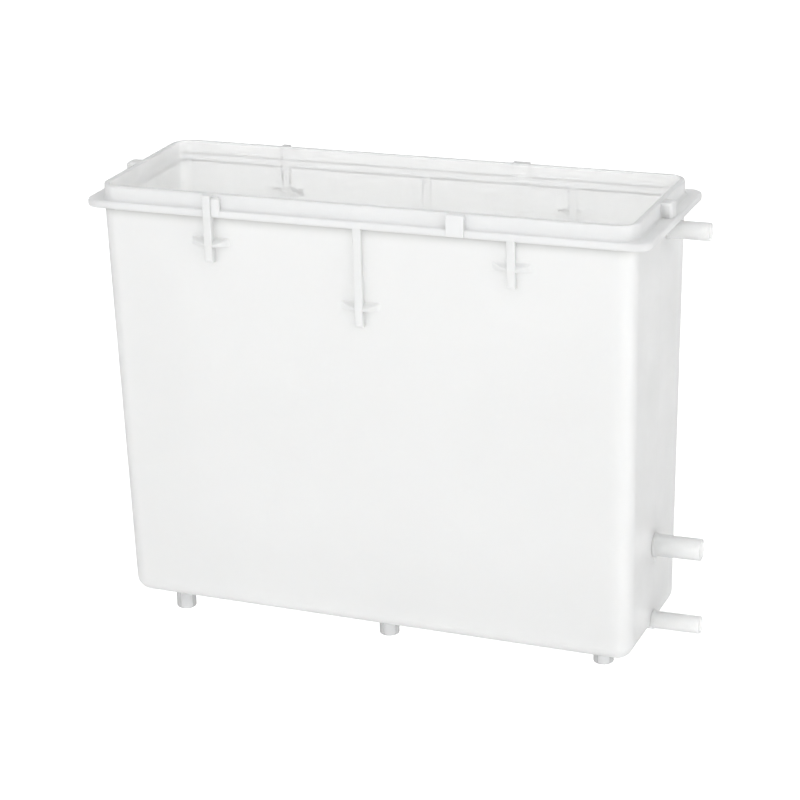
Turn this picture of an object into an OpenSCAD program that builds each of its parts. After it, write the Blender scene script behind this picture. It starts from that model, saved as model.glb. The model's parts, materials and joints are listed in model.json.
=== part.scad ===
// Open-top header and expansion tank for a small wet heating system.
//
// A narrow drafted box with a sloping floor. Its rim carries a flange, an
// upstand for a lid and six locating lugs. Three hose spigots leave the
// right-hand end, and six pegs under the floor plug into the base that the
// tank stands on.
//
// +X is to the right (the spigot end), +Y to the rear and +Z up. The origin
// is in the plane of the peg ends, at the centre of the peg pattern.

/* [Tank] */
// Outside length of the box under the flange
tank_length_top = 322; // [315:1:340]
// Outside length of the box at the floor
tank_length_floor = 313.5; // [306:0.5:320]
// Outside depth of the box under the flange
tank_depth_top = 112; // [105:1:125]
// Outside depth of the box at the floor
tank_depth_floor = 101; // [96:1:110]
// Height from the floor's centre up to the underside of the flange
tank_height = 246.5; // [235:0.5:280]
// Wall and floor thickness
wall_thickness = 3.5; // [3:0.1:4]
// Outside radius of the upright corners
corner_radius = 10; // [9.5:0.5:14]
// Outside radius where the walls turn into the floor
floor_edge_radius = 8.5; // [5:0.5:9]
// Fall of the floor towards the spigots, along the whole length
floor_fall = 5.5; // [0:0.5:6]

/* [Rim] */
// How far the flange stands out beyond the box at the two ends
flange_end_overhang = 9; // [8:0.5:12]
// How far the flange stands out beyond the box at front and rear
flange_side_overhang = 3; // [2.5:0.5:6]
// Thickness of the flange
flange_thickness = 4.5; // [3:0.5:5]
// Corner radius of the flange
flange_corner_radius = 9; // [8:0.5:12]
// Height of the upstand above the flange
upstand_height = 8.7; // [7:0.1:12]
// How far the upstand's outer face stands out beyond the box
upstand_step = 0.5; // [0.3:0.1:2]
// Corner radius of the upstand
upstand_corner_radius = 12.5; // [11:0.5:14]

/* [Lugs] */
// Width of each locating lug along the rim
lug_width = 10.5; // [8:0.5:12]
// Distance of the right lugs from the centre, at front and rear
lug_right_offset = 59; // [50:1:70]
// How far the two end lugs stand out from the upstand
end_lug_depth = 6.5; // [5:0.5:8]

/* [Cross ribs] */
// Thickness of each upright fin
fin_thickness = 5; // [3:0.1:5.5]
// Distance of the two short ribs from the centre rib
rib_spacing = 91; // [80:1:100]
// Depth of the wing's underside below the flange on a short rib
short_rib_drop = 17.5; // [14:0.5:25]
// Depth of the wing's underside below the flange on a long rib
long_rib_drop = 48.5; // [40:0.5:60]
// Width of the half-moon wing
wing_width = 24; // [20:1:28]
// Thickness of the wing at its front edge
wing_edge_thickness = 1.4; // [1:0.1:3]
// Thickness of the wing at the wall
wing_root_thickness = 5; // [3:0.1:7]
// Length of the fin's tail below the wing
tail_length = 10; // [8:0.5:14]

/* [Spigots] */
// Outside diameter of the return spigot
return_diameter = 13; // [12:0.5:14]
// Outside diameter of the outlet and overflow spigots
small_diameter = 10.5; // [9.5:0.5:11.5]
// Wall thickness of the spigots
spigot_wall = 1.5; // [1.2:0.1:1.8]
// Distance of the spigot ends from the tank's centre
spigot_reach = 186; // [182:1:200]
// Length of each spigot that shows inside the tank
spigot_inner_length = 9; // [5:1:12]
// How far the thicker root of each spigot shows outside the wall
spigot_root_length = 1.2; // [0.8:0.1:2]
// How much the root's radius is larger than the spigot's
spigot_root_step = 0.5; // [0.3:0.1:1]
// Height of the return spigot above the peg ends
return_height = 67; // [50:1:120]
// Height of the outlet spigot above the peg ends
outlet_height = 19.5; // [19.5:0.5:24]
// Height of the overflow spigot above the peg ends
overflow_height = 255; // [240:0.5:255]
// Distance of the overflow spigot behind the centre line
overflow_setback = 12; // [0:1:20]

/* [Pegs] */
// Diameter of the pegs
peg_diameter = 12; // [10:0.5:14]
// Distance of the outer pegs from the centre pair
peg_pitch = 134; // [120:1:138]
// Distance between the front and rear rows of pegs
peg_row_spacing = 48; // [40:1:60]
// Length of the pegs below the centre of the floor
peg_length = 15; // [12:0.5:20]
// Width of the bevel at the foot of each peg
peg_bevel = 0.4; // [0.2:0.1:0.5]
// Size of the sloping fillet where each peg meets the floor
peg_fillet = 0.8; // [0.5:0.1:1.5]

/* [Hidden] */

// Facets of the shapes that a hull joins, and of everything else.
hull_facets = 48;
round_facets = 96;
$fn = round_facets;
// Overshoot of a cutting solid past the face that it cuts.
overshoot = 1;

body_tint = [0.90, 0.91, 0.90];
rim_tint = [0.86, 0.88, 0.89];
spigot_tint = [0.82, 0.83, 0.83];
peg_tint = [0.78, 0.79, 0.79];

half_length_top = tank_length_top / 2;
half_length_floor = tank_length_floor / 2;
half_depth_top = tank_depth_top / 2;
half_depth_floor = tank_depth_floor / 2;
flange_bottom = peg_length + tank_height;
flange_top = flange_bottom + flange_thickness;
rim_top = flange_top + upstand_height;
floor_slope = floor_fall / tank_length_floor;
// Growth of the half length and half depth for each millimetre of height.
length_draft = (half_length_top - half_length_floor) / tank_height;
depth_draft = (half_depth_top - half_depth_floor) / tank_height;

flange_half_length = half_length_top + flange_end_overhang;
flange_half_depth = half_depth_top + flange_side_overhang;
upstand_half_length = half_length_top + upstand_step;
upstand_half_depth = half_depth_top + upstand_step;
// The front and rear lugs, with the left fins, end just outside the flange.
lug_face_step = 1.5;
lug_face = flange_half_depth + lug_face_step;
// The block beside the left fins is lower and less proud than the fin.
block_drop = 1.6;
block_setback = 0.8;
// The wing's front edge is this far behind the fin's.
wing_setback = 0.3;
// How far the added pieces run into the wall before it is cut away.
root_depth = 2.5;
// Radius of a fin's rounded tail, as a share of its depth.
tail_roundness = 0.6;
// Where the spigots end inside the tank.
spigot_inner_end = half_length_floor - wall_thickness - spigot_inner_length;

// Height of the floor's outer face at a distance x from the centre.
function floor_height(x) = peg_length - x * floor_slope;

// A flat plate with round corners, from exact blocks and cylinders.
module rounded_plate(half_length, half_depth, radius, height) {
    inner_length = half_length - radius;
    inner_depth = half_depth - radius;
    translate([-half_length, -inner_depth, 0])
        cube([2 * half_length, 2 * inner_depth, height]);
    translate([-inner_length, -half_depth, 0])
        cube([2 * inner_length, 2 * half_depth, height]);
    for (x = [-inner_length, inner_length], y = [-inner_depth, inner_depth])
        translate([x, y, 0])
            cylinder(r = radius, h = height);
}

// One lower corner: a disc with a rounded rim, as wide as the upright corner.
module floor_corner(upright_radius, edge_radius) {
    rotate_extrude($fn = hull_facets)
        intersection() {
            translate([upright_radius - edge_radius, 0])
                circle(r = edge_radius, $fn = hull_facets);
            translate([0, -edge_radius])
                square([upright_radius, 2 * edge_radius]);
        }
}

// The drafted box with a sloping floor. Inset is 0 for its outer face and the
// wall's thickness for the space inside; top is where the shape stops.
module drafted_box(inset, top) {
    rise = top - peg_length;
    upright_radius = corner_radius - inset;
    edge_radius = floor_edge_radius - inset;
    low_x = half_length_floor - inset - upright_radius;
    low_y = half_depth_floor - inset - upright_radius;
    high_x = low_x + rise * length_draft;
    high_y = low_y + rise * depth_draft;
    hull() {
        for (sx = [-1, 1], sy = [-1, 1]) {
            translate([
                sx * low_x,
                sy * low_y,
                floor_height(sx * low_x) + inset + edge_radius
            ])
                floor_corner(upright_radius, edge_radius);
            translate([sx * high_x, sy * high_y, top - overshoot / 10])
                cylinder(r = upright_radius, h = overshoot / 10, $fn = hull_facets);
        }
    }
}

// Distance of the right-hand wall's outer face from the centre, at height z.
function end_wall(z) = half_length_floor + (z - peg_length) * length_draft;

// A solid bar as wide as a spigot's root, to open the wall for it.
module spigot_bar(diameter, y, z) {
    translate([spigot_inner_end, y, z])
        rotate([0, 90, 0])
            cylinder(
                r = diameter / 2 + spigot_root_step,
                h = spigot_reach - spigot_inner_end
            );
}

// A hose spigot: a thicker root through the wall, a short cone, then a
// straight tube with its outer edge bevelled.
module spigot(diameter, y, z) {
    length = spigot_reach - spigot_inner_end;
    root_end = end_wall(z) + spigot_root_length - spigot_inner_end;
    outer_radius = diameter / 2;
    root_radius = outer_radius + spigot_root_step;
    bore_radius = outer_radius - spigot_wall;
    bevel = spigot_wall / 3;
    translate([spigot_inner_end, y, z])
        rotate([0, 90, 0])
            rotate_extrude()
                polygon([
                    [bore_radius, 0],
                    [root_radius, 0],
                    [root_radius, root_end],
                    [outer_radius, root_end + spigot_root_step],
                    [outer_radius, length - bevel],
                    [outer_radius - bevel, length],
                    [bore_radius, length]
                ]);
}

// Side view of a fin: down from the flange, past the wing, then a tail that
// rounds back to the wall. Drawn with the fin's front edge at y = 0.
module fin_profile(drop, depth) {
    tail_end = -drop - tail_length;
    tip_radius = depth * tail_roundness;
    difference() {
        translate([0, tail_end])
            square([depth + root_depth, drop + tail_length]);
        difference() {
            translate([-overshoot, tail_end - overshoot])
                square([tip_radius + overshoot, tip_radius + overshoot]);
            translate([tip_radius, tail_end + tip_radius])
                circle(r = tip_radius);
        }
    }
}

// Distance of a fin's front edge from the centre. The left fins carry on up
// as lugs; the others end flush with the flange.
function fin_face(x) = x < 0 ? lug_face : flange_half_depth;

// One cross-shaped rib on the front wall, centred on x = 0. The wall's own
// solid is cut away from it afterwards.
module cross_rib(drop, face) {
    depth = face - half_depth_floor;
    translate([-fin_thickness / 2, -face, flange_bottom])
        rotate([90, 0, 90])
            linear_extrude(height = fin_thickness)
                fin_profile(drop, depth);
    wing(drop, face);
}

// Half-moon wing: the part of a round plate that stands in front of the wall,
// with a top that slopes down from the wall to a thin front edge.
module wing(drop, face) {
    wall_y = -(half_depth_top - drop * depth_draft);
    reach = face - wing_setback + wall_y;
    front_y = wall_y - reach;
    half_width = wing_width / 2;
    wing_radius = (half_width * half_width + reach * reach) / (2 * reach);
    translate([0, 0, flange_bottom - drop])
        intersection() {
            translate([0, front_y + wing_radius, 0])
                cylinder(r = wing_radius, h = wing_root_thickness);
            translate([-wing_width, 0, 0])
                rotate([90, 0, 90])
                    linear_extrude(height = 2 * wing_width)
                        polygon([
                            [front_y, 0],
                            [wall_y + root_depth, 0],
                            [wall_y + root_depth, wing_root_thickness],
                            [wall_y, wing_root_thickness],
                            [front_y, wing_edge_thickness]
                        ]);
        }
}

// A rib mirrored to front and rear at each of the given places.
module rib_set(places, drop) {
    difference() {
        for (x = places, side = [0, 1])
            mirror([0, side, 0])
                translate([x, 0, 0])
                    cross_rib(drop, fin_face(x));
        drafted_box(0, flange_bottom);
    }
}

// Lug on the outside of the upstand's front face, between two heights.
module side_lug(x, width, face, low, high) {
    translate([x - width / 2, -face, low])
        cube([width, face - upstand_half_depth + root_depth, high - low]);
}

// The four lugs on the long sides. Each left lug is the short rib's fin
// carried up to the rim, with a lower block beside it.
module long_side_lugs() {
    fin_x = -rib_spacing;
    block_width = lug_width - fin_thickness;
    block_x = fin_x + fin_thickness / 2 + block_width / 2;
    for (side = [0, 1])
        mirror([0, side, 0]) {
            side_lug(fin_x, fin_thickness, lug_face, flange_bottom, rim_top);
            side_lug(
                block_x, block_width, lug_face - block_setback,
                flange_bottom, rim_top - block_drop
            );
            side_lug(lug_right_offset, lug_width, lug_face, flange_bottom, rim_top);
        }
}

module end_lugs() {
    for (side = [0, 1])
        mirror([side, 0, 0])
            translate([upstand_half_length - root_depth, -lug_width / 2, flange_bottom])
                cube([end_lug_depth + root_depth, lug_width, rim_top - flange_bottom]);
}

module tank_shell() {
    color(body_tint)
        difference() {
            drafted_box(0, flange_bottom);
            drafted_box(wall_thickness, flange_bottom + overshoot);
            spigot_bar(return_diameter, 0, return_height);
            spigot_bar(small_diameter, 0, outlet_height);
            spigot_bar(small_diameter, overflow_setback, overflow_height);
        }
}

module rim_frame() {
    color(rim_tint)
        difference() {
            union() {
                translate([0, 0, flange_bottom])
                    rounded_plate(
                        flange_half_length, flange_half_depth,
                        flange_corner_radius, flange_thickness
                    );
                translate([0, 0, flange_bottom])
                    rounded_plate(
                        upstand_half_length, upstand_half_depth,
                        upstand_corner_radius, rim_top - flange_bottom
                    );
                long_side_lugs();
                end_lugs();
            }
            drafted_box(wall_thickness, rim_top + overshoot);
        }
}

module short_cross_ribs() {
    color(body_tint)
        rib_set([-rib_spacing, rib_spacing], short_rib_drop);
}

module long_cross_ribs() {
    color(body_tint)
        rib_set([0], long_rib_drop);
}

module overflow_spigot() {
    color(spigot_tint)
        spigot(small_diameter, overflow_setback, overflow_height);
}

module return_spigot() {
    color(spigot_tint)
        spigot(return_diameter, 0, return_height);
}

module outlet_spigot() {
    color(spigot_tint)
        spigot(small_diameter, 0, outlet_height);
}

// A front and rear peg at one place along the tank. The pegs all end in the
// same plane, and the sloping floor cuts their tops.
module peg_pair(x) {
    peg_radius = peg_diameter / 2;
    floor_z = floor_height(x);
    top = floor_z + floor_fall;
    color(peg_tint)
        difference() {
            for (y = [-peg_row_spacing / 2, peg_row_spacing / 2])
                translate([x, y, 0])
                    rotate_extrude()
                        polygon([
                            [0, 0],
                            [peg_radius - peg_bevel, 0],
                            [peg_radius, peg_bevel],
                            [peg_radius, floor_z - peg_fillet],
                            [peg_radius + peg_fillet, floor_z],
                            [peg_radius + peg_fillet, top],
                            [0, top]
                        ]);
            drafted_box(0, flange_bottom);
        }
}

module left_pegs() {
    peg_pair(-peg_pitch);
}

module centre_pegs() {
    peg_pair(0);
}

module right_pegs() {
    peg_pair(peg_pitch);
}

tank_shell();
rim_frame();
short_cross_ribs();
long_cross_ribs();
overflow_spigot();
return_spigot();
outlet_spigot();
left_pegs();
centre_pegs();
right_pegs();
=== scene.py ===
"""The visual model of a header and expansion tank: a narrow open-top box moulded in translucent
white polypropylene, with a flanged rim, cross-shaped ribs, three hose spigots and six pegs.

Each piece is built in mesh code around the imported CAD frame, in metres, and stands for the
CAD node or nodes of the same place. The camera, floor and lights come last.
"""

import json
import math

import bmesh
import bpy
from mathutils import Matrix, Vector


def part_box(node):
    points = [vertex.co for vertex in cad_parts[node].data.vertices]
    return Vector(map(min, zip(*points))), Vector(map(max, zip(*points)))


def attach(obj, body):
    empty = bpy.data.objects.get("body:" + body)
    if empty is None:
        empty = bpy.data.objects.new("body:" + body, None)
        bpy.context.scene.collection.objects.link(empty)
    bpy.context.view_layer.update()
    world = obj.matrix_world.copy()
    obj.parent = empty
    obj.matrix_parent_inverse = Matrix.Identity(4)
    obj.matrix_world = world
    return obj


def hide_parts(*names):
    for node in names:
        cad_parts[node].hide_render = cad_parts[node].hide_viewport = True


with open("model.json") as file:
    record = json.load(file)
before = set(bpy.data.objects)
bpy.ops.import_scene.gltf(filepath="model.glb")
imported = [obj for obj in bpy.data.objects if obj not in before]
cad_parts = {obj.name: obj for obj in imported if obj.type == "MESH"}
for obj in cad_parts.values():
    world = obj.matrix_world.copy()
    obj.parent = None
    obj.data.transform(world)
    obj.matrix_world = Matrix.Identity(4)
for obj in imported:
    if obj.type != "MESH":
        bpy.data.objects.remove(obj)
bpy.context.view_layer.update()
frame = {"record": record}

MM = 0.001

# Sizes that the CAD boxes don't give, in metres. First the box and its floor.
WALL = 3.5 * MM
BODY_RADIUS = 10 * MM
FLOOR_RADIUS = 8.5 * MM
FLOOR_FALL = 5.5 * MM
FLOOR_LENGTH = 313.5 * MM
FLOOR_DEPTH = 101 * MM
PEG_LENGTH = 15 * MM

# The flange and the upstand, with the rounding of their edges from the box's wall to the lip.
FLANGE_THICKNESS = 4.5 * MM
FLANGE_RADIUS = 9 * MM
FLANGE_SIDE_OVERHANG = 3 * MM
UPSTAND_STEP = 0.5 * MM
UPSTAND_RADIUS = 12.5 * MM
FLANGE_FILLET = 0.8 * MM
FLANGE_EDGE = 1.1 * MM
UPSTAND_FILLET = 1.4 * MM
LIP_EDGE = 0.9 * MM

# The lugs outside the upstand. A lower block stands beside each fin that ends as a lug.
LUG_WIDTH = 10.5 * MM
LUG_LIFT = 0.4 * MM
LUG_TOP_DROP = 0.15 * MM
RIGHT_LUG_X = 59 * MM
END_LUG_DEPTH = 6.5 * MM
BLOCK_DROP = 1.6 * MM
BLOCK_SETBACK = 0.8 * MM
BLOCK_OVERLAP = 0.3 * MM

# The cross ribs: a fin with a tail, and a wing this far below the flange.
SHORT_DROP = 17.5 * MM
LONG_DROP = 48.5 * MM
FIN_THICKNESS = 5 * MM
FIN_SETBACK = 0.1 * MM
TAIL_LENGTH = 10 * MM
TAIL_ROUND_SHARE = 0.6
WING_WIDTH = 24 * MM
WING_EDGE_THICKNESS = 1.4 * MM
WING_ROOT_THICKNESS = 5 * MM
WING_SETBACK = 0.3 * MM

# The spigots, the bead of weld under one of them, and the pegs.
SPIGOT_WALL = 1.5 * MM
SPIGOT_LIP = 0.6 * MM
LIP_BULGE = 0.3 * SPIGOT_LIP
MOUTH_LIP = 0.6 * SPIGOT_LIP
MOUTH_BULGE = 0.2 * SPIGOT_LIP
ROOT_STEP = 0.5 * MM
ROOT_LENGTH = 1.2 * MM
ROOT_SLOPE = 2 * ROOT_STEP
ROOT_SLOPE_MIDDLE = (0.6 * ROOT_STEP, 0.25 * ROOT_STEP)
CUTTER_LENGTH = 40 * MM
BEAD_RADIUS = 1.3 * MM
BEAD_STRETCH = (0.8, 1.0, 1.4)
BEAD_OUT_SHARE = 0.2
BEAD_DROP = 9 * MM
PEG_FOOT = 0.9 * MM
PEG_FILLET = 0.8 * MM
AXIS_RADIUS = 0.001 * MM

# Pieces that are separate in use are drawn this far apart.
GAP = 0.05 * MM
# Parts of the one moulding run this far into each other before they are joined.
ROOT = 1.2 * MM
# Rounding of the moulding's edges that are sharper than an angle in degrees.
BEVEL_SEGMENTS = 3
BEVEL_ANGLE = 40
SOFT_EDGE = 0.6 * MM
WING_SOFT_EDGE = 0.45 * MM
BLOCK_SOFT_EDGE = 1.2 * MM
END_LUG_SOFT_EDGE = 1.6 * MM

# Extra rings of points this far from a rounded edge keep the faces beside it flat.
WALL_GUARD = 1.5 * MM
TUBE_GUARD = 1 * MM
PEG_FOOT_GUARD = 0.8 * MM
PEG_TOP_GUARD = 0.6 * MM
RIM_GUARD = 0.6 * MM

# How finely curves and walls are divided.
CORNER_STEPS = 12
FLOOR_STEPS = 10
EDGE_STEPS = 4
TAIL_STEPS = 8
WING_STEPS = 24
TURN_STEPS = 64
WALL_STEPS = 8
LOWEST_WALL_LEVEL = PEG_LENGTH + 20 * MM
STRAIGHT_SHARES = (0.2, 0.4, 0.6, 0.8)
FLOOR_SHARES = (0.02, 0.5)

# Shading stays smooth over edges blunter than this, in degrees.
MOULDING_SMOOTH_ANGLE = 38
TURNED_SMOOTH_ANGLE = 50

SIDES = {"front": -1, "rear": 1}
SPIGOTS = {
    "overflow_spigot": "overflow_spigot_outside",
    "return_spigot": "return_spigot_outside",
    "outlet_spigot": "outlet_spigot_outside",
}

mounts = {mount["name"]: mount for mount in frame["record"]["mounts"]}

_, shell_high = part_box("tank_shell")
_, rim_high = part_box("rim_frame")
body_half_x = shell_high[0]
body_half_y = shell_high[1]
flange_bottom = shell_high[2]
flange_top = flange_bottom + FLANGE_THICKNESS
rim_top = rim_high[2]
flange_half_x = rim_high[0]
flange_half_y = body_half_y + FLANGE_SIDE_OVERHANG
upstand_half_x = body_half_x + UPSTAND_STEP
upstand_half_y = body_half_y + UPSTAND_STEP
lug_face = rim_high[1]
floor_half_x = FLOOR_LENGTH / 2
floor_half_y = FLOOR_DEPTH / 2
tank_height = flange_bottom - PEG_LENGTH
draft_x = (body_half_x - floor_half_x) / tank_height
draft_y = (body_half_y - floor_half_y) / tank_height
floor_slope = FLOOR_FALL / FLOOR_LENGTH
lug_bottom = flange_bottom + LUG_LIFT
lug_top = rim_top - LUG_TOP_DROP
short_ribs_low, short_ribs_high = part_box("short_cross_ribs")
rib_spacing = (short_ribs_high[0] - short_ribs_low[0] - WING_WIDTH) / 2
rib_places = {"left": -rib_spacing, "right": rib_spacing, "centre": 0.0}


def front_wall(z):
    """Distance of the front wall's outer face from the centre at height z."""
    return floor_half_y + (z - PEG_LENGTH) * draft_y


def end_wall(z):
    """Distance of an end wall's outer face from the centre at height z."""
    return floor_half_x + (z - PEG_LENGTH) * draft_x


def floor_height(x):
    """Height of the floor's outer face at x."""
    return PEG_LENGTH - x * floor_slope


# ---------------------------------------------------------------- mesh helpers


def outline(half_x, half_y, radius):
    """Points around a rectangle with round corners, always the same number of them."""
    guard = min(WALL_GUARD, (half_y - radius) / 3)
    corners = ((1, 1, 0), (-1, 1, 90), (-1, -1, 180), (1, -1, 270))
    arcs = []
    for sign_x, sign_y, start in corners:
        centre = Vector((sign_x * (half_x - radius), sign_y * (half_y - radius)))
        arc = []
        for step in range(CORNER_STEPS + 1):
            angle = math.radians(start + 90 * step / CORNER_STEPS)
            arc.append(centre + radius * Vector((math.cos(angle), math.sin(angle))))
        arcs.append(arc)
    points = []
    for index, arc in enumerate(arcs):
        points += arc
        begin, end = arc[-1], arcs[(index + 1) % 4][0]
        along = (end - begin).normalized()
        first, last = begin + along * guard, end - along * guard
        points.append(first)
        points += [first.lerp(last, share) for share in STRAIGHT_SHARES]
        points.append(last)
    return points


def flat_ring(half_x, half_y, radius, z):
    """An outline at one height."""
    return [Vector((p.x, p.y, z)) for p in outline(half_x, half_y, radius)]


def floor_ring(half_x, half_y, radius, rise, hinge_x):
    """A ring that follows the sloping floor, level within each rounded corner."""
    ring = []
    for p in outline(half_x, half_y, radius):
        x = max(-hinge_x, min(hinge_x, p.x))
        ring.append(Vector((p.x, p.y, floor_height(x) + rise)))
    return ring


def mesh_object(name, bm):
    """An object in the scene made from a bmesh, which is used up."""
    bmesh.ops.recalc_face_normals(bm, faces=bm.faces)
    mesh = bpy.data.meshes.new(name)
    bm.to_mesh(mesh)
    bm.free()
    obj = bpy.data.objects.new(name, mesh)
    bpy.context.collection.objects.link(obj)
    return obj


def loft(name, rings):
    """A closed solid through rings of equal length, with a face over the first and last."""
    bm = bmesh.new()
    rows = [[bm.verts.new(p) for p in ring] for ring in rings]
    count = len(rows[0])
    for low, high in zip(rows, rows[1:]):
        for i in range(count):
            j = (i + 1) % count
            bm.faces.new((low[i], low[j], high[j], high[i]))
    bm.faces.new(list(reversed(rows[0])))
    bm.faces.new(rows[-1])
    return mesh_object(name, bm)


def prism(name, profile, to_point, thickness):
    """A profile of (a, b) pairs, extruded over the thickness. to_point(a, b, t) gives each
    point, with t from minus to plus half the thickness."""
    bm = bmesh.new()
    near = [bm.verts.new(to_point(a, b, -thickness / 2)) for a, b in profile]
    far = [bm.verts.new(to_point(a, b, thickness / 2)) for a, b in profile]
    count = len(profile)
    bm.faces.new(near)
    bm.faces.new(list(reversed(far)))
    for i in range(count):
        j = (i + 1) % count
        bm.faces.new((near[j], near[i], far[i], far[j]))
    return mesh_object(name, bm)


def lathe(name, profile, to_point):
    """A closed (distance, radius) loop turned around an axis. to_point(d, u, v) places it."""
    bm = bmesh.new()
    rows = []
    for step in range(TURN_STEPS):
        angle = 2 * math.pi * step / TURN_STEPS
        c, s = math.cos(angle), math.sin(angle)
        rows.append([bm.verts.new(to_point(d, r * c, r * s)) for d, r in profile])
    count = len(profile)
    for index, row in enumerate(rows):
        following = rows[(index + 1) % TURN_STEPS]
        for i in range(count):
            j = (i + 1) % count
            bm.faces.new((row[i], row[j], following[j], following[i]))
    return mesh_object(name, bm)


def arc_points(centre, radius, start, end, steps):
    """Points on an arc in a profile's plane, angles in degrees."""
    points = []
    for step in range(steps + 1):
        angle = math.radians(start + (end - start) * step / steps)
        points.append((centre[0] + radius * math.cos(angle),
                       centre[1] + radius * math.sin(angle)))
    return points


def apply_modifiers(obj):
    """Makes the result of an object's modifiers its own mesh."""
    depsgraph = bpy.context.evaluated_depsgraph_get()
    mesh = bpy.data.meshes.new_from_object(obj.evaluated_get(depsgraph))
    obj.modifiers.clear()
    obj.data = mesh
    return obj


def bevelled(obj, width):
    """Rounds the object's sharp edges."""
    bevel = obj.modifiers.new("bevel", "BEVEL")
    bevel.width = width
    bevel.segments = BEVEL_SEGMENTS
    bevel.limit_method = "ANGLE"
    bevel.angle_limit = math.radians(BEVEL_ANGLE)
    return apply_modifiers(obj)


def combined(obj, others, operation):
    """Boolean of an object with others, which are used up."""
    for other in others:
        step = obj.modifiers.new("boolean", "BOOLEAN")
        step.operation = operation
        step.object = other
        step.solver = "MANIFOLD"
    apply_modifiers(obj)
    for other in others:
        bpy.data.objects.remove(other)
    return obj


def smoothed(obj, angle):
    """Smooth shading that keeps edges sharper than the angle and flat faces flat."""
    obj.data.shade_smooth()
    obj.data.set_sharp_from_angle(angle=math.radians(angle))
    weighted = obj.modifiers.new("weighted", "WEIGHTED_NORMAL")
    weighted.keep_sharp = True
    return apply_modifiers(obj)


# ---------------------------------------------------------------- tank moulding


def turn(steps):
    """Angles of a quarter turn, from 0 to 90 degrees."""
    return [math.radians(90 * step / steps) for step in range(steps + 1)]


def swing(radius, t):
    """Distances of a rounded edge from the two faces it joins, at angle t of its quarter turn:
    from 0 and the radius to the radius and 0."""
    return radius * (1 - math.cos(t)), radius * (1 - math.sin(t))


def floor_edge_rings(inset, radius, edge):
    """The rounded edge where a floor turns up into the walls, from the floor outwards."""
    rings = []
    hinge_x = floor_half_x - BODY_RADIUS
    for angle in turn(FLOOR_STEPS):
        rise, pulled = swing(edge, angle)
        pulled += inset
        rings.append(floor_ring(
            floor_half_x - pulled + rise * draft_x, floor_half_y - pulled + rise * draft_y,
            radius - pulled + inset, rise + inset, hinge_x))
    return rings


def floor_rings(inset, radius, edge):
    """A floor from its middle out to the walls. Inset is 0 outside and the wall inside."""
    rings = []
    hinge_x = floor_half_x - BODY_RADIUS
    flat = inset + edge
    for share in FLOOR_SHARES:
        rings.append(floor_ring(
            (floor_half_x - flat) * share, (floor_half_y - flat) * share,
            (radius - edge) * share, inset, hinge_x))
    return rings + floor_edge_rings(inset, radius, edge)


def wall_levels(top):
    """Heights of the rings of a wall, up to its top."""
    rise = top - LOWEST_WALL_LEVEL
    levels = [LOWEST_WALL_LEVEL + rise * i / WALL_STEPS for i in range(WALL_STEPS)]
    return levels + [top - WALL_GUARD, top]


def wall_ring(offset, z):
    """A ring at an offset from the walls' outer face."""
    return flat_ring(end_wall(z) + offset, front_wall(z) + offset, BODY_RADIUS + offset, z)


def flange_ring(inset, z):
    """A ring at an inset from the flange's edge."""
    return flat_ring(flange_half_x - inset, flange_half_y - inset, FLANGE_RADIUS - inset, z)


def upstand_ring(offset, z):
    """A ring at an offset from the upstand's outer face."""
    return flat_ring(upstand_half_x + offset, upstand_half_y + offset,
                     UPSTAND_RADIUS + offset, z)


def rim_rings():
    """From the outer wall's top: under and around the flange, up the upstand, over its lip."""
    under, flange_low, flange_high, upstand_foot, lip_out, lip_in = [], [], [], [], [], []
    for t in turn(EDGE_STEPS):
        out, rest = swing(FLANGE_FILLET, t)
        under.append(wall_ring(out, flange_bottom - rest))
        out, rest = swing(FLANGE_EDGE, t)
        flange_low.append(flange_ring(rest, flange_bottom + out))
        flange_high.append(flange_ring(out, flange_top - rest))
        out, rest = swing(UPSTAND_FILLET, t)
        upstand_foot.append(upstand_ring(rest, flange_top + out))
        out, rest = swing(LIP_EDGE, t)
        lip_out.append(upstand_ring(-out, rim_top - rest))
        lip_in.append(wall_ring(rest - WALL, rim_top - out))
    under.append(flange_ring(FLANGE_EDGE + RIM_GUARD, flange_bottom))
    below_lip = rim_top - LIP_EDGE - RIM_GUARD
    upstand_foot.append(upstand_ring(0, below_lip))
    lip_in.append(wall_ring(-WALL, below_lip))
    return under + flange_low + flange_high + upstand_foot + lip_out + lip_in


def make_skin():
    """The box with its flange and upstand: one skin from the floor's outside to its inside."""
    rings = floor_rings(0, BODY_RADIUS, FLOOR_RADIUS)
    rings += [wall_ring(0, z) for z in wall_levels(flange_bottom - WALL_GUARD)]
    rings += rim_rings()
    rings += [wall_ring(-WALL, z) for z in reversed(wall_levels(flange_top))]
    rings += reversed(floor_rings(WALL, BODY_RADIUS - WALL, FLOOR_RADIUS - WALL))
    return loft("tank_moulding", rings)


def hole_cutter(mount):
    """A cylinder that opens the end wall for a spigot's root."""
    _, y, z = mount["pos_m"]
    radius = mount["dims"]["r_mm"] * MM + ROOT_STEP + GAP
    bm = bmesh.new()
    across = Matrix.Rotation(math.pi / 2, 4, "Y")
    bmesh.ops.create_cone(
        bm, cap_ends=True, segments=TURN_STEPS, depth=CUTTER_LENGTH,
        radius1=radius, radius2=radius,
        matrix=Matrix.Translation((end_wall(z), y, z)) @ across)
    return mesh_object("cutter", bm)


def block(low, high, soft_edge):
    """A box between two corners, with rounded edges."""
    bm = bmesh.new()
    matrix = Matrix.Translation((Vector(low) + Vector(high)) / 2)
    size = Vector(high) - Vector(low)
    bmesh.ops.create_cube(bm, size=1, matrix=matrix @ Matrix.Diagonal((*size, 1)))
    return bevelled(mesh_object("block", bm), soft_edge)


def side_lug(side, x_low, x_high, face, top, soft_edge):
    """A lug in front of or behind the upstand, out to the given face."""
    y_low, y_high = sorted((side * (upstand_half_y - ROOT), side * face))
    return block((x_low, y_low, lug_bottom), (x_high, y_high, top), soft_edge)


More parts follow.
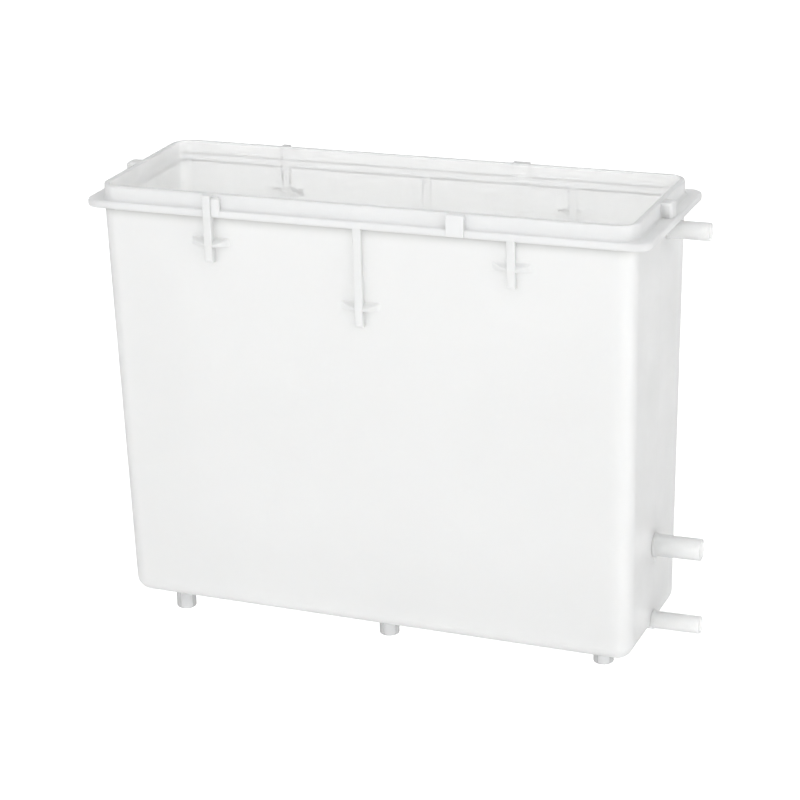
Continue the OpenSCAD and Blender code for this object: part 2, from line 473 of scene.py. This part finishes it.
def end_lug(side):
    """The lug outside the middle of one end of the upstand."""
    x_low, x_high = sorted((side * (upstand_half_x - ROOT),
                            side * (upstand_half_x + END_LUG_DEPTH)))
    return block((x_low, -LUG_WIDTH / 2, lug_bottom), (x_high, LUG_WIDTH / 2, lug_top),
                 END_LUG_SOFT_EDGE)


def make_lugs():
    """The plain locating lugs outside the upstand. Each starts inside the upstand's wall."""
    beside_fin = FIN_THICKNESS / 2 - rib_spacing - BLOCK_OVERLAP
    lugs = []
    for side in SIDES.values():
        lugs.append(side_lug(side, beside_fin, beside_fin + LUG_WIDTH - FIN_THICKNESS,
                             lug_face - BLOCK_SETBACK, lug_top - BLOCK_DROP,
                             BLOCK_SOFT_EDGE))
        lugs.append(side_lug(side, RIGHT_LUG_X - LUG_WIDTH / 2, RIGHT_LUG_X + LUG_WIDTH / 2,
                             lug_face, lug_top, SOFT_EDGE))
        lugs.append(end_lug(side))
    return lugs


def make_fin(x, side, drop, face, top):
    """An upright fin on a long wall, down to a tail with a rounded foot below the wing."""
    tail_low = flange_bottom - drop - TAIL_LENGTH
    tip = (face - front_wall(tail_low)) * TAIL_ROUND_SHARE
    profile = [(front_wall(top) - ROOT, top), (front_wall(tail_low) - ROOT, tail_low)]
    profile += arc_points((face - tip, tail_low + tip), tip, -90, 0, TAIL_STEPS)
    profile.append((face, top))
    fin = prism("fin", profile, lambda a, b, t: Vector((x + t, side * a, b)), FIN_THICKNESS)
    return bevelled(fin, SOFT_EDGE)


def make_wing(x, side, drop, face):
    """A half-moon wing across a fin, level underneath and thin at its front edge."""
    wing_low = flange_bottom - drop
    wall = front_wall(wing_low)
    reach = face - WING_SETBACK - wall
    half_width = WING_WIDTH / 2
    radius = (half_width ** 2 + reach ** 2) / (2 * reach)
    centre = wall + reach - radius
    half_angle = math.asin(half_width / radius)
    curve = [(half_width, wall - ROOT), (-half_width, wall - ROOT)]
    for step in range(WING_STEPS + 1):
        angle = half_angle * (2 * step / WING_STEPS - 1)
        curve.append((radius * math.sin(angle), centre + radius * math.cos(angle)))
    taper = (WING_ROOT_THICKNESS - WING_EDGE_THICKNESS) / reach

    def wing_point(a, b, share):
        height = WING_EDGE_THICKNESS + (wall + reach - b) * taper
        return Vector((x + a, side * b, wing_low + (share + 0.5) * height))

    return bevelled(prism("wing", curve, wing_point, 1), WING_SOFT_EDGE)


def make_ribs():
    """Three ribs on each long side. The left fins carry on up past the flange as lugs."""
    ribs = []
    for side in SIDES.values():
        for place_name, x in rib_places.items():
            drop = LONG_DROP if place_name == "centre" else SHORT_DROP
            if place_name == "left":
                face, top = lug_face, rim_top - FIN_SETBACK
            else:
                face, top = flange_half_y - FIN_SETBACK, flange_bottom + ROOT
            fin = make_fin(x, side, drop, face, top)
            ribs.append(combined(fin, [make_wing(x, side, drop, face)], "UNION"))
    return ribs


def make_weld_bead():
    """A bead of weld on the end wall, just under the return spigot's root."""
    _, y, z = mounts["return_spigot_outside"]["pos_m"]
    z -= BEAD_DROP
    bm = bmesh.new()
    bmesh.ops.create_icosphere(bm, subdivisions=3, radius=BEAD_RADIUS)
    bmesh.ops.scale(bm, vec=BEAD_STRETCH, verts=bm.verts)
    x = end_wall(z) + BEAD_RADIUS * BEAD_OUT_SHARE
    bmesh.ops.translate(bm, vec=(x, y, z), verts=bm.verts)
    return mesh_object("bead", bm)


def make_moulding():
    """The box, rim, lugs and ribs in one skin, as they are moulded, opened for the spigots."""
    skin = combined(make_skin(), [*make_ribs(), *make_lugs(), make_weld_bead()], "UNION")
    cutters = [hole_cutter(mounts[mount_name]) for mount_name in SPIGOTS.values()]
    return smoothed(combined(skin, cutters, "DIFFERENCE"), MOULDING_SMOOTH_ANGLE)


# ---------------------------------------------------------------- spigots and pegs


def soft_corner(distance, radius, along, across, reach, bulge):
    """Three points that round a profile's corner: a reach across from it, a bulge away from it
    both ways, and a reach along from it. Along and across are 1 or -1."""
    return [(distance, radius + across * reach),
            (distance + along * bulge, radius + across * bulge),
            (distance + along * reach, radius)]


def make_spigot(name, mount):
    """A tube through the end wall, with a thicker root inside and rounded ends."""
    _, y, z = mount["pos_m"]
    low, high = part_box(name)
    inner, outer = low[0], high[0]
    radius = mount["dims"]["r_mm"] * MM
    bore = radius - SPIGOT_WALL
    root = radius + ROOT_STEP
    root_end = end_wall(z) + ROOT_LENGTH
    slope_middle = (root_end + ROOT_SLOPE_MIDDLE[0], radius + ROOT_SLOPE_MIDDLE[1])
    slope_end = root_end + ROOT_SLOPE

    profile = [(inner, bore + SPIGOT_LIP)]
    profile += soft_corner(inner, root, 1, -1, SPIGOT_LIP, LIP_BULGE)
    profile += [(inner + 2 * SPIGOT_LIP, root), (root_end - SPIGOT_LIP, root), (root_end, root)]
    profile += [slope_middle, (slope_end, radius)]
    profile += [(slope_end + TUBE_GUARD, radius), (outer - SPIGOT_LIP - TUBE_GUARD, radius)]
    profile += reversed(soft_corner(outer, radius, -1, -1, SPIGOT_LIP, LIP_BULGE))
    profile += soft_corner(outer, bore, -1, 1, MOUTH_LIP, MOUTH_BULGE)
    profile += [(outer - MOUTH_LIP - TUBE_GUARD, bore), (inner + SPIGOT_LIP + TUBE_GUARD, bore)]
    profile.append((inner + SPIGOT_LIP, bore))
    tube = lathe(name + "_tube", profile, lambda d, u, v: Vector((d, y + u, z + v)))
    return smoothed(tube, TURNED_SMOOTH_ANGLE)


def make_peg(name, x, y, radius):
    """A peg with a rounded foot, whose top follows the sloping floor and flares to meet it."""
    floor_z = floor_height(x)
    profile = [(0, AXIS_RADIUS), (0, radius - PEG_FOOT)]
    for t in turn(EDGE_STEPS)[1:]:
        up, back = swing(PEG_FOOT, t)
        profile.append((up, radius - back))
    profile += [(PEG_FOOT + PEG_FOOT_GUARD, radius),
                (floor_z - PEG_FILLET - PEG_TOP_GUARD, radius)]
    for t in reversed(turn(EDGE_STEPS)):
        profile.append((floor_z - PEG_FILLET * math.cos(t),
                        radius + PEG_FILLET * (1 - math.sin(t))))
    profile.append((floor_z, AXIS_RADIUS))

    def place(d, u, v):
        share = max(0.0, d - PEG_FOOT) / (floor_z - PEG_FOOT)
        tilt = -u * floor_slope * share
        return Vector((x + u, y + v, d + tilt - GAP * share))

    return smoothed(lathe(name, profile, place), TURNED_SMOOTH_ANGLE)


# ---------------------------------------------------------------- build the pieces

pieces = {"tank_moulding": make_moulding()}
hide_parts("tank_shell", "rim_frame",
            "short_cross_ribs", "long_cross_ribs")

for node, mount_name in SPIGOTS.items():
    pieces[node] = make_spigot(node, mounts[mount_name])
    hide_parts(node)

peg_dims = mounts["corner_pegs"]["dims"]
peg_radius = peg_dims["stud_r_mm"] * MM
peg_half_x = peg_dims["spacing_x_mm"] * MM / 2
peg_half_y = peg_dims["spacing_y_mm"] * MM / 2
for place_name, x in {"left": -peg_half_x, "centre": 0.0, "right": peg_half_x}.items():
    for side_name, side in SIDES.items():
        name = f"{place_name}_peg_{side_name}"
        pieces[name] = make_peg(name, x, side * peg_half_y, peg_radius)
        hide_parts(f"{place_name}_pegs")

# ---------------------------------------------------------------- materials

# Natural polypropylene, its cloudy patches, and how far light scatters inside it.
PLASTIC_TINT = (0.95, 0.955, 0.95)
CLOUD_TINT = (0.55, 0.55, 0.52)
CLOUD_STRENGTH = 0.04
TANK_SCATTER = 5 * MM
SMALL_PART_SCATTER = 4 * MM
SCATTER_COLOUR = (1.0, 0.98, 0.96)
CLEARNESS = 0.5
IOR = 1.49
ROUGHNESS = (0.30, 0.43)
# The pegs' plastic is painted darker, as painted shade under the tank.
PEG_SHADE_TINT = (0.60, 0.605, 0.61)

# Noise patterns: features per metre, and how many finer layers each has. A range is the part
# of the pattern's values that is spread over the whole change.
CLOUD_NOISE = (14, 3)
CLOUD_RANGE = (0.35, 0.65)
GLOSS_NOISE = (60, 4)
GLOSS_RANGE = (0.3, 0.7)
GRAIN_NOISE = (900, 2)
WAVE_NOISE = (25, 1)
GRAIN_HEIGHT = 0.2 * MM
GRAIN_STRENGTH = 0.08
WAVE_HEIGHT = 1 * MM
WAVE_STRENGTH = 0.15

# Painted shade: a painted shadow under the flange, and the rim and ribs painted darker and
# slightly cooler.
FLANGE_SHADE_DEPTH = 9 * MM
FLANGE_SHADE_FALLOFF = 2.5
FLANGE_SHADE_STRENGTH = 0.7
SHADE_AND_MARK_TINT = (0.42, 0.42, 0.41)
RIM_SHADE_TINT = (0.88, 0.885, 0.89)
RIM_SHADE_FADE = (flange_bottom - 0.2 * MM, flange_bottom + 0.6 * MM)
RIB_SHADE_TINT = (0.86, 0.865, 0.865)
RIB_SHADE_FADE = (0.3 * MM, 1.2 * MM)

# The parting line down each end, a darker patch on the right-hand end, and painted shade in the
# corners.
LINE_STRENGTH = 0.05
LINE_FADE = (0.3 * MM, 0.9 * MM)
DARK_PATCH_POINT = (159 * MM, -14 * MM, 167 * MM)
DARK_PATCH_REACH = 24 * MM
DARK_PATCH_STRENGTH = 0.12
OUTSIDE_FADE = 10 * MM
CREVICE_SHADE_REACH = 6 * MM
CREVICE_SHADE_SAMPLES = 6
CREVICE_SHADE_FADE = (0.3, 0.85)
CREVICE_SHADE_STRENGTH = 0.24


class Shader:
    """One material's node tree, with short ways to add the nodes used here."""

    def __init__(self, name):
        self.material = bpy.data.materials.new(name)
        self.material.use_nodes = True
        self.nodes = self.material.node_tree.nodes
        self.links = self.material.node_tree.links
        self.surface = self.nodes["Principled BSDF"]
        self.place = self.nodes.new("ShaderNodeTexCoord").outputs["Object"]

    def noise(self, scale, detail):
        """A cloudy pattern of values around 0.5."""
        node = self.nodes.new("ShaderNodeTexNoise")
        node.inputs["Scale"].default_value = scale
        node.inputs["Detail"].default_value = detail
        node.inputs["Roughness"].default_value = 0.5
        self.links.new(self.place, node.inputs["Vector"])
        return node.outputs["Fac"]

    def ranged(self, source, low, high, to_low=0.0, to_high=1.0):
        """A value moved from one range to another and kept inside it."""
        node = self.nodes.new("ShaderNodeMapRange")
        for socket, value in (("From Min", low), ("From Max", high),
                              ("To Min", to_low), ("To Max", to_high)):
            node.inputs[socket].default_value = value
        self.links.new(source, node.inputs["Value"])
        return node.outputs["Result"]

    def along(self, axis):
        """The position along one axis."""
        node = self.nodes.new("ShaderNodeSeparateXYZ")
        self.links.new(self.place, node.inputs[0])
        return node.outputs[axis]

    def outside(self):
        """1 on faces that look away from the tank's middle line, 0 on the ones inside."""
        normal = self.nodes.new("ShaderNodeNewGeometry").outputs["True Normal"]
        node = self.nodes.new("ShaderNodeVectorMath")
        node.operation = "DOT_PRODUCT"
        self.links.new(self.place, node.inputs[0])
        self.links.new(normal, node.inputs[1])
        return self.ranged(node.outputs["Value"], 0.0, OUTSIDE_FADE)

    def near(self, point, reach):
        """1 at a point, fading to 0 at the given reach."""
        node = self.nodes.new("ShaderNodeVectorMath")
        node.operation = "DISTANCE"
        self.links.new(self.place, node.inputs[0])
        node.inputs[1].default_value = point
        return self.ranged(node.outputs["Value"], 0.0, reach, 1.0, 0.0)

    def crevice_shade(self, reach):
        """1 deep in a corner between faces, 0 in the open: ambient occlusion, used as painted
        shade.
        """
        node = self.nodes.new("ShaderNodeAmbientOcclusion")
        node.samples = CREVICE_SHADE_SAMPLES
        node.only_local = True
        node.inputs["Distance"].default_value = reach
        return self.ranged(node.outputs["AO"], *CREVICE_SHADE_FADE, 1.0, 0.0)

    def maths(self, operation, first, second):
        """A sum on two values, each a socket or a number."""
        node = self.nodes.new("ShaderNodeMath")
        node.operation = operation
        for socket, value in zip(node.inputs, (first, second)):
            if isinstance(value, (int, float)):
                socket.default_value = value
            else:
                self.links.new(value, socket)
        return node.outputs[0]

    def mixed(self, share, first, second):
        """A mix of two colours, each a socket or a triple."""
        node = self.nodes.new("ShaderNodeMix")
        node.data_type = "RGBA"
        self.links.new(share, node.inputs["Factor"])
        for socket, colour in ((node.inputs[6], first), (node.inputs[7], second)):
            if isinstance(colour, tuple):
                socket.default_value = (*colour, 1)
            else:
                self.links.new(colour, socket)
        return node.outputs[2]

    def bump(self, height, strength, distance, below=None):
        """A surface direction roughened by a pattern, on top of an earlier one if given."""
        node = self.nodes.new("ShaderNodeBump")
        node.inputs["Strength"].default_value = strength
        node.inputs["Distance"].default_value = distance
        self.links.new(height, node.inputs["Height"])
        if below is not None:
            self.links.new(below, node.inputs["Normal"])
        return node.outputs["Normal"]


def tank_colour(shader, tint):
    """The moulding's colour, with painted shade: a painted shadow in the corner under the
    flange, and the rim above the flange's underside and the ribs painted darker and slightly
    cooler;
    with a parting line down each end, a darker patch on the right-hand end, and painted shade
    in the corners."""
    height = shader.along("Z")
    outside = shader.outside()
    # Painted shade: the outside is darkened towards the flange's underside, a painted shadow
    # under the flange.
    flange_shade = shader.ranged(height, flange_bottom - FLANGE_SHADE_DEPTH, flange_bottom)
    flange_shade = shader.maths("POWER", flange_shade, FLANGE_SHADE_FALLOFF)
    flange_shade = shader.maths("MULTIPLY", flange_shade, outside)
    flange_shade = shader.maths("MULTIPLY", flange_shade, FLANGE_SHADE_STRENGTH)
    colour = shader.mixed(flange_shade, tint, SHADE_AND_MARK_TINT)

    # Painted shade: faces standing proud of the long walls, the ribs among them, are painted
    # darker.
    beside = shader.maths("ABSOLUTE", shader.along("Y"), 0)
    wall = shader.maths("MULTIPLY", shader.maths("SUBTRACT", height, PEG_LENGTH), draft_y)
    proud = shader.maths("SUBTRACT", beside, shader.maths("ADD", wall, floor_half_y))
    colour = shader.mixed(shader.ranged(proud, *RIB_SHADE_FADE), colour, RIB_SHADE_TINT)

    line = shader.ranged(beside, *LINE_FADE, LINE_STRENGTH, 0.0)
    dark_patch = shader.near(DARK_PATCH_POINT, DARK_PATCH_REACH)
    dark_patch = shader.maths("MULTIPLY", dark_patch, DARK_PATCH_STRENGTH)
    at_ends = shader.ranged(shader.maths("ABSOLUTE", shader.along("X"), 0),
                            floor_half_x - BODY_RADIUS, floor_half_x)
    marks = shader.maths("MULTIPLY", shader.maths("ADD", line, dark_patch), at_ends)
    colour = shader.mixed(marks, colour, SHADE_AND_MARK_TINT)

    # Painted shade: the outside above the flange's underside is painted darker.
    above = shader.ranged(height, *RIM_SHADE_FADE)
    colour = shader.mixed(shader.maths("MULTIPLY", above, outside), colour, RIM_SHADE_TINT)
    # Painted shade: ambient occlusion darkens the corners between faces.
    corner = shader.maths("MULTIPLY", shader.crevice_shade(CREVICE_SHADE_REACH), CREVICE_SHADE_STRENGTH)
    return shader.mixed(corner, colour, SHADE_AND_MARK_TINT)


def plastic(name, tint, scatter, colouring=None):
    """Translucent natural polypropylene: cloudy colour and a satin skin with fine texture."""
    shader = Shader(name)
    surface, links = shader.surface, shader.links
    colour = colouring(shader, tint) if colouring else tint
    cloud = shader.ranged(shader.noise(*CLOUD_NOISE), *CLOUD_RANGE, 0.0, CLOUD_STRENGTH)
    links.new(shader.mixed(cloud, colour, CLOUD_TINT), surface.inputs["Base Color"])
    gloss = shader.ranged(shader.noise(*GLOSS_NOISE), *GLOSS_RANGE, *ROUGHNESS)
    links.new(gloss, surface.inputs["Roughness"])

    surface.subsurface_method = "RANDOM_WALK"
    surface.inputs["Subsurface Weight"].default_value = 1.0
    surface.inputs["Subsurface Radius"].default_value = SCATTER_COLOUR
    surface.inputs["Subsurface Scale"].default_value = scatter
    surface.inputs["Transmission Weight"].default_value = CLEARNESS
    surface.inputs["IOR"].default_value = IOR

    grain = shader.bump(shader.noise(*GRAIN_NOISE), GRAIN_STRENGTH, GRAIN_HEIGHT)
    wave = shader.bump(shader.noise(*WAVE_NOISE), WAVE_STRENGTH, WAVE_HEIGHT, grain)
    links.new(wave, surface.inputs["Normal"])
    return shader.material


tank_plastic = plastic("tank_polypropylene", PLASTIC_TINT, TANK_SCATTER, tank_colour)
spigot_plastic = plastic("spigot_polypropylene", PLASTIC_TINT, SMALL_PART_SCATTER)
peg_plastic = plastic("peg_polypropylene_shaded", PEG_SHADE_TINT, SMALL_PART_SCATTER)


def finish_of(name):
    """A piece's material and a short name for its kind."""
    if name in SPIGOTS:
        return spigot_plastic, "spigots"
    if "_peg_" in name:
        return peg_plastic, "pegs"
    return tank_plastic, "tank"


for name, piece in pieces.items():
    material, slot_name = finish_of(name)
    piece.data.materials.clear()
    piece.data.materials.append(material)
    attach(piece, "root")

# ---------------------------------------------------------------- camera

# The camera's angles go around the middle of the tank's underside, and its offset moves it
# sideways and upwards in its own picture plane. Its lens and sensor are in real millimetres.
CAMERA_AZIMUTH = math.radians(21.1534)
CAMERA_ELEVATION = math.radians(19.6246)
CAMERA_ROLL = math.radians(-1.4705)
CAMERA_DISTANCE = 1.71341
CAMERA_OFFSET = (-1.9379 * MM, 117.7241 * MM)
CAMERA_LENS = 126.977
CAMERA_SENSOR = 36


def make_camera():
    """The scene's camera, placed by its angles, distance and offset."""
    back = Vector((math.sin(CAMERA_AZIMUTH) * math.cos(CAMERA_ELEVATION),
                   -math.cos(CAMERA_AZIMUTH) * math.cos(CAMERA_ELEVATION),
                   math.sin(CAMERA_ELEVATION)))
    level = Vector((math.cos(CAMERA_AZIMUTH), math.sin(CAMERA_AZIMUTH), 0))
    upright = back.cross(level)
    right = level * math.cos(CAMERA_ROLL) + upright * math.sin(CAMERA_ROLL)
    up = upright * math.cos(CAMERA_ROLL) - level * math.sin(CAMERA_ROLL)
    place = right * CAMERA_OFFSET[0] + up * CAMERA_OFFSET[1] + back * CAMERA_DISTANCE
    place.z += PEG_LENGTH
    data = bpy.data.cameras.new("camera")
    data.lens = CAMERA_LENS
    data.sensor_width = CAMERA_SENSOR
    camera = bpy.data.objects.new("camera", data)
    turned = Matrix((right, up, back)).transposed().to_4x4()
    camera.matrix_world = Matrix.Translation(place) @ turned
    bpy.context.collection.objects.link(camera)
    bpy.context.scene.camera = camera


make_camera()

# ---------------------------------------------------------------- floor and lights

# The white floor: half its side, its tone and glow, and how much of it shows in reflections.
FLOOR_HALF = 6.0
FLOOR_TONE = 0.3
FLOOR_GLOW = 1.05
FLOOR_REFLECTED = 0.15

# The soft light from all around, and how much of it shows in reflections.
ROOM_STRENGTH = 1.08
ROOM_REFLECTED = 0.3

# Each softbox's place, what it points at, its width and height in metres, and its power.
SOFTBOXES = {
    "front_softbox": ((-0.4, -2.6, 1.0), (0, 0, 0.15), (2.0, 1.6), 10),
    "side_softbox": ((2.4, -0.9, 0.4), (0, 0, 0.08), (1.6, 0.7), 17),
    "top_softbox": ((0, 0.1, 2.2), (0, 0, 0), (2.0, 1.4), 3),
}


def less_in_reflections(nodes, links, lit, dim):
    """A shader that is lit for the eye and for light, and dim where a surface mirrors it."""
    path = nodes.new("ShaderNodeLightPath")
    mirrored = nodes.new("ShaderNodeMath")
    mirrored.operation = "SUBTRACT"
    mirrored.use_clamp = True
    links.new(path.outputs["Is Glossy Ray"], mirrored.inputs[0])
    links.new(path.outputs["Is Transmission Ray"], mirrored.inputs[1])
    choice = nodes.new("ShaderNodeMixShader")
    links.new(mirrored.outputs[0], choice.inputs["Fac"])
    links.new(lit.outputs[0], choice.inputs[1])
    links.new(dim.outputs[0], choice.inputs[2])
    return choice.outputs[0]


def make_floor():
    """A plain white floor, wider than the picture."""
    bm = bmesh.new()
    corners = [bm.verts.new((sign_x * FLOOR_HALF, sign_y * FLOOR_HALF, 0))
               for sign_x, sign_y in ((-1, -1), (1, -1), (1, 1), (-1, 1))]
    bm.faces.new(corners)
    floor = mesh_object("floor", bm)
    material = bpy.data.materials.new("floor_white")
    material.use_nodes = True
    nodes, links = material.node_tree.nodes, material.node_tree.links
    nodes.clear()
    paper = nodes.new("ShaderNodeBsdfDiffuse")
    paper.inputs["Color"].default_value = (*[FLOOR_TONE] * 3, 1)
    glow = nodes.new("ShaderNodeEmission")
    glow.inputs["Strength"].default_value = FLOOR_GLOW
    lit = nodes.new("ShaderNodeAddShader")
    links.new(paper.outputs[0], lit.inputs[0])
    links.new(glow.outputs[0], lit.inputs[1])
    dim = nodes.new("ShaderNodeEmission")
    dim.inputs["Strength"].default_value = FLOOR_REFLECTED
    output = nodes.new("ShaderNodeOutputMaterial")
    links.new(less_in_reflections(nodes, links, lit, dim), output.inputs["Surface"])
    floor.data.materials.append(material)


def softbox(name, place, target, size, power):
    """A rectangular light that points at a target."""
    data = bpy.data.lights.new(name, "AREA")
    data.shape = "RECTANGLE"
    data.size, data.size_y = size
    data.energy = power
    light = bpy.data.objects.new(name, data)
    light.location = place
    light.rotation_euler = (Vector(target) - Vector(place)).to_track_quat("-Z", "Y").to_euler()
    bpy.context.collection.objects.link(light)


def make_room():
    """Even soft light from all around."""
    world = bpy.data.worlds.new("studio")
    bpy.context.scene.world = world
    world.use_nodes = True
    nodes, links = world.node_tree.nodes, world.node_tree.links
    nodes.clear()
    room, dim_room = [nodes.new("ShaderNodeBackground") for _ in range(2)]
    room.inputs["Strength"].default_value = ROOM_STRENGTH
    room.inputs["Color"].default_value = (1, 1, 1, 1)
    dim_room.inputs["Strength"].default_value = ROOM_REFLECTED
    dim_room.inputs["Color"].default_value = (1, 1, 1, 1)
    output = nodes.new("ShaderNodeOutputWorld")
    links.new(less_in_reflections(nodes, links, room, dim_room), output.inputs["Surface"])


make_floor()
for name, (place, target, size, power) in SOFTBOXES.items():
    softbox(name, place, target, size, power)
make_room()

scene = bpy.context.scene
scene.view_settings.view_transform = "Standard"
scene.cycles.use_denoising = True
scene.cycles.diffuse_bounces = 8
scene.cycles.max_bounces = 16
